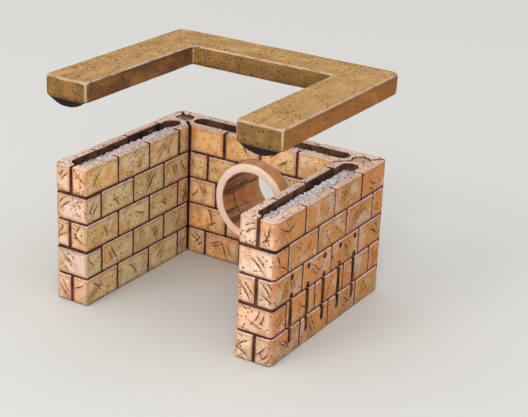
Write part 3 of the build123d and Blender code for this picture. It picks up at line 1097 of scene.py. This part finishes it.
def pebbles(places, rng):
    """Crushed stones at places, each with its own size, turn, shape and shade."""
    round_points, round_faces = pebble_shape()
    points, faces, tint = [], [], []
    for index, place in enumerate(places):
        size = rng.uniform(0.0075, 0.0125)
        scale = size * np.array([rng.uniform(0.9, 1.3), rng.uniform(0.75, 1.0), rng.uniform(0.55, 0.8)])
        shape = round_points * (1 + 0.24 * noise(round_points + index * 3.7, 0.9, 71))[:, None] * scale
        turn = np.array(Matrix.Rotation(rng.uniform(0, 2 * math.pi), 3, "Z")
                        @ Matrix.Rotation(rng.uniform(-0.5, 0.5), 3, "X"))
        points.append(shape @ turn.T + place)
        faces.append(round_faces + index * len(round_points))
        tone = np.array(GRAVEL_TONES[rng.integers(len(GRAVEL_TONES))])[:3] * rng.uniform(0.85, 1.1)
        tint.append(np.tile(tone, (len(round_points), 1)))
    return points, faces, tint


def fill_places(low, high, rng):
    """Places for the top layer of a core's gravel."""
    outline = np.array(core_outline(low, high, -0.006))
    spacing = 0.0165
    places = []
    for x in np.arange(low.x, high.x, spacing):
        for y in np.arange(low.y, high.y, spacing):
            place = np.array([[x + rng.uniform(-0.005, 0.005), y + rng.uniform(-0.005, 0.005)]])
            inside = np.allclose(nearest_inside(place, outline), place)
            if inside:
                places.append((*place[0], FILL_TOP - 0.004 + rng.uniform(-0.004, 0.004)))
    return places


def drain_gravel(unit, rng):
    """Places for the stones that show through a wing's drain slots and holes."""
    side = 1 if unit == "right_wing_wall" else -1
    face = side * (INNER_X + THICKNESS - LEAF)
    places = []
    for y in drain_places(unit):
        heights = [*np.arange(DRAIN_SLOT[0], DRAIN_SLOT[1], 0.016), DRAIN_HOLE_Z - 0.009, DRAIN_HOLE_Z + 0.009]
        for z in heights:
            for step in (-0.013, 0.0, 0.013):
                place = (face - side * rng.uniform(0.002, 0.007), y + step + rng.uniform(-0.003, 0.003), z)
                places.append(place)
    return places


def gravel_piece(unit, finish, seed):
    """A core's gravel: a lumpy bed with loose stones on top and behind the drains."""
    rng = np.random.default_rng(seed)
    low, high = core_box(unit)
    node = unit.replace("wing_wall", "core_fill").replace("rear_wall", "rear_core_fill")
    bed = prism(node + "_bed", core_outline(low, high, -0.004), 0.002, FILL_TOP - 0.009)
    if unit == "rear_wall":
        centre = (0, REAR_Y + THICKNESS / 2, PIPE_Z)
        cutter = cylinder_along("pipe", "Y", centre, PIPE_RADIUS + 0.001, 2 * THICKNESS)
        cut(bed, cutter)
        remove(cutter)
    places = fill_places(low, high, rng)
    if unit != "rear_wall":
        places += drain_gravel(unit, rng)
    points, faces, tint = pebbles(places, rng)
    bed_points = np.array([v.co[:] for v in bed.data.vertices])
    bed_faces = [list(p.vertices) for p in bed.data.polygons]
    start = len(bed_points)
    all_faces = bed_faces + [[start + i for i in face] for face in np.concatenate(faces).tolist()]
    made = mesh_object(node + "_gravel", np.concatenate([bed_points, *points]), all_faces, smooth=False)
    # Painted shade: the bed seen between the stones is dark.
    bed_tint = np.tile(np.array(GRAVEL_GAP_SHADE)[:3], (start, 1))
    set_tint(made, np.concatenate([bed_tint, *tint]))
    remove(bed)
    made.data.materials.append(finish)
    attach(made, "walls")
    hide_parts(node)
    return made


# Setting

def camera():
    """The photograph's view."""
    az, el, roll = (math.radians(a) for a in (CAMERA_AZIMUTH, CAMERA_ELEVATION, CAMERA_ROLL))
    ahead = Vector((-math.sin(az) * math.cos(el), math.cos(az) * math.cos(el), -math.sin(el)))
    level = Vector((math.cos(az), math.sin(az), 0))
    up = level.cross(ahead)
    right = level * math.cos(roll) + up * math.sin(roll)
    up = right.cross(ahead)
    data = bpy.data.cameras.new("camera")
    data.lens = CAMERA_LENS
    data.sensor_width = 36
    made = bpy.data.objects.new("camera", data)
    made.matrix_world = Matrix((right, up, -ahead)).transposed().to_4x4()
    made.location = CAMERA_PLACE
    bpy.context.scene.collection.objects.link(made)
    bpy.context.scene.camera = made


def seen_by_camera(tree):
    """One where the camera, a reflection or a view through glass looks, and nought for other light."""
    path = tree.nodes.new("ShaderNodeLightPath")
    total = path.outputs["Is Camera Ray"]
    for name in ("Is Glossy Ray", "Is Transmission Ray"):
        most = tree.nodes.new("ShaderNodeMath")
        most.operation = "MAXIMUM"
        tree.links.new(total, most.inputs[0])
        tree.links.new(path.outputs[name], most.inputs[1])
        total = most.outputs[0]
    return total


def soft_world():
    """Even, slightly cool light all round, and a pale background."""
    world = bpy.data.worlds.new("studio")
    bpy.context.scene.world = world
    world.use_nodes = True
    tree = world.node_tree
    tree.nodes.clear()
    light = tree.nodes.new("ShaderNodeBackground")
    light.inputs["Color"].default_value = (1.0, 0.985, 0.97, 1)
    light.inputs["Strength"].default_value = AMBIENT
    backdrop = tree.nodes.new("ShaderNodeBackground")
    backdrop.inputs["Color"].default_value = BACKGROUND
    choose = tree.nodes.new("ShaderNodeMixShader")
    output = tree.nodes.new("ShaderNodeOutputWorld")
    tree.links.new(seen_by_camera(tree), choose.inputs[0])
    tree.links.new(light.outputs[0], choose.inputs[1])
    tree.links.new(backdrop.outputs[0], choose.inputs[2])
    tree.links.new(choose.outputs[0], output.inputs[0])


def lamp(name, place, target, size, power, tone):
    """A soft square lamp."""
    data = bpy.data.lights.new(name, "AREA")
    data.size = size
    data.energy = power
    data.color = tone
    made = bpy.data.objects.new(name, data)
    made.location = place
    made.rotation_mode = "QUATERNION"
    made.rotation_quaternion = (Vector(target) - Vector(place)).to_track_quat("-Z", "Y")
    bpy.context.scene.collection.objects.link(made)


def floor():
    """A plain pale floor that the object stands on."""
    made = mesh_object("floor", [(-40, -40, 0), (40, -40, 0), (40, 40, 0), (-40, 40, 0)], [[0, 1, 2, 3]])
    finish = Shader("floor", roughness=0.95)
    finish.surface.inputs["Base Color"].default_value = FLOOR
    made.data.materials.append(finish.material)


# Pipe colours: the pale end colour is painted light, the slightly darker bore painted shade.
PIPE_OUTSIDE = colour(226, 170, 120)
PIPE_BORE = colour(202, 146, 100)
PIPE_LIT_END = colour(220, 188, 170)
# Cap colours by which way a face looks: painted light on the top, painted shade on the ends, sides and underside.
CAP_LIT_TOP = colour(190, 152, 98)
CAP_SHADED_END = colour(118, 90, 48)
CAP_SHADED_SIDE = colour(104, 70, 40)
CAP_OUTER = colour(150, 96, 42)
CAP_UNDERSIDE_SHADE = colour(60, 44, 40)
CAP_CELL = 0.009
CAP_THICKNESS = 0.150
CAP_SHADE_BAND = 0.055
# The left key's dark red copies a look in shade: painted shade; the right key keeps a cream stone colour.
KEY_TONES = (colour(108, 42, 32), colour(226, 196, 170))
GRAVEL_TONES = (colour(236, 230, 232), colour(222, 216, 224), colour(246, 240, 236), colour(196, 192, 208),
                colour(238, 222, 208))
# Painted shade for the gaps between the gravel stones.
GRAVEL_GAP_SHADE = colour(96, 92, 104)
AMBIENT = 1.0
BACKGROUND = colour(224, 226, 224)
FLOOR = colour(206, 206, 204)

bpy.context.scene.view_settings.view_transform = "Standard"
camera()
soft_world()
lamp("key", (-8.0, -22.4, 14.24), (0, 0, 0.8), 11.2, 2048, (1.0, 0.97, 0.93))
lamp("fill", (11.2, -20.8, 7.0), (0, 0, 0.6), 12.8, 2816, (1.0, 0.985, 0.97))
floor()

stone_finish = stone_material("block_stone", 0.55)
key_finish = stone_material("key_stone", 0.0)
# Dark brown for the core walls and cut faces: painted shade.
core_shade_finish = plain_stone_material("core_shade_stone", colour(70, 44, 38), colour(118, 82, 56))
mortar_finish = plain_stone_material("mortar", colour(52, 30, 30), colour(92, 58, 48))
for unit, seed in (("left_wing_wall", 11), ("rear_wall", 12), ("right_wing_wall", 13)):
    wall_unit(unit, seed, stone_finish, core_shade_finish, mortar_finish)

wall_thickness = PIPE_RADIUS - BORE_RADIUS
gravel_finish = gravel_material()
for unit, seed in (("left_wing_wall", 21), ("rear_wall", 22), ("right_wing_wall", 23)):
    gravel_piece(unit, gravel_finish, seed)
for name, place, tone, seed in zip(("left_corner_key", "right_corner_key"), corner_places(), KEY_TONES, (31, 32)):
    corner_key(name, place, tone, key_finish, seed)

pipe_finish = pipe_material()
lip, bevel = 0.014, 0.005
front, shoulder = collar_low.y, REAR_Y - 0.002
ring_piece("outlet_collar_cast", "outlet_collar",
           [(BORE_RADIUS, front + bevel), (BORE_RADIUS + bevel, front), (PIPE_RADIUS - lip, front),
            (PIPE_RADIUS - lip * 0.3, front + lip * 0.3), (PIPE_RADIUS, front + lip), (PIPE_RADIUS, shoulder),
            (BORE_RADIUS + wall_thickness / 2, shoulder), (BORE_RADIUS + wall_thickness / 2, collar_high.y),
            (BORE_RADIUS + 0.002, collar_high.y), (BORE_RADIUS, collar_high.y - 0.002)], -1, pipe_finish, 41)
back, tongue = pipe_high.y, BORE_RADIUS + wall_thickness / 2
ring_piece("culvert_pipe_cast", "culvert_pipe",
           [(PIPE_RADIUS, REAR_Y), (tongue + 0.0015, REAR_Y), (tongue + 0.0015, collar_high.y + 0.002),
            (BORE_RADIUS + 0.002, collar_high.y + 0.002), (BORE_RADIUS, collar_high.y + 0.004),
            (BORE_RADIUS, back - bevel), (BORE_RADIUS + bevel, back), (tongue - bevel, back),
            (tongue, back - bevel), (tongue, back - 0.04), (PIPE_RADIUS, back - 0.04)], 1, pipe_finish, 42)
cap_piece(cap_material())
